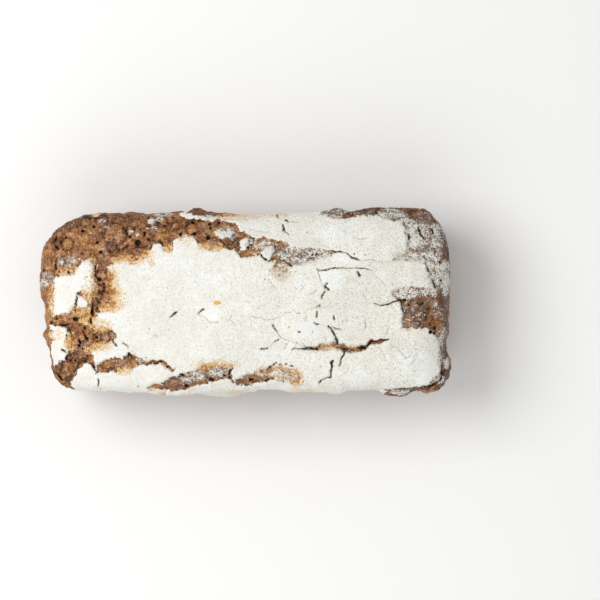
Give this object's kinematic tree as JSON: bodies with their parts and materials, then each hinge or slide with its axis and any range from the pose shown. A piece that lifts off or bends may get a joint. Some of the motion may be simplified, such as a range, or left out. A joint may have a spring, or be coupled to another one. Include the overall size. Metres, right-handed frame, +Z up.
{
  "type": "rye tin loaf",
  "caption": "Whole rye tin loaf with straight tin-formed walls, an overhanging rim, and a low floured crown torn open in crusty bands and cracks.",
  "frame": {"origin": "middle of the bounding box's underside, on the loaf's flat base", "axes": "+X along the loaf, +Y across it, +Z up from the base to the floured crown"},
  "size_m": [0.25, 0.115, 0.084],
  "materials": {
    "crust": "matte"
  },
  "bodies": {
    "root": {"loaf": "crust"}
  },
  "joints": []
}
